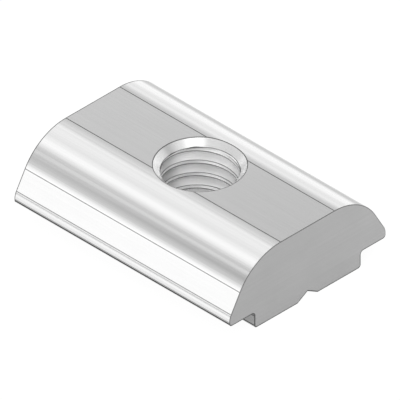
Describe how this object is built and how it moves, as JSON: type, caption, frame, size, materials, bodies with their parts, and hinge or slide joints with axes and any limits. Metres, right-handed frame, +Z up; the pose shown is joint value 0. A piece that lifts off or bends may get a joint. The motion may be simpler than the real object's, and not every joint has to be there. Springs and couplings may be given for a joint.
{
  "type": "t slot nut",
  "caption": "Steel T slot nut with a rounded back, a tongue for the slot's opening, a centring groove along the tongue and a countersunk M5 threaded hole through its middle.",
  "frame": {"origin": "on the axis of the threaded hole, in the plane of the tongue's underside", "axes": "+X along the nut's length and the slot, +Y across the flanges, +Z up through the hole, from the tongue to the rounded back"},
  "size_m": [0.016, 0.0116, 0.0046],
  "materials": {
    "plated_steel": "bright drawn steel with a thin zinc plating, duller on the sawn ends"
  },
  "bodies": {
    "root": {"t_slot_nut": "plated_steel"}
  },
  "joints": []
}
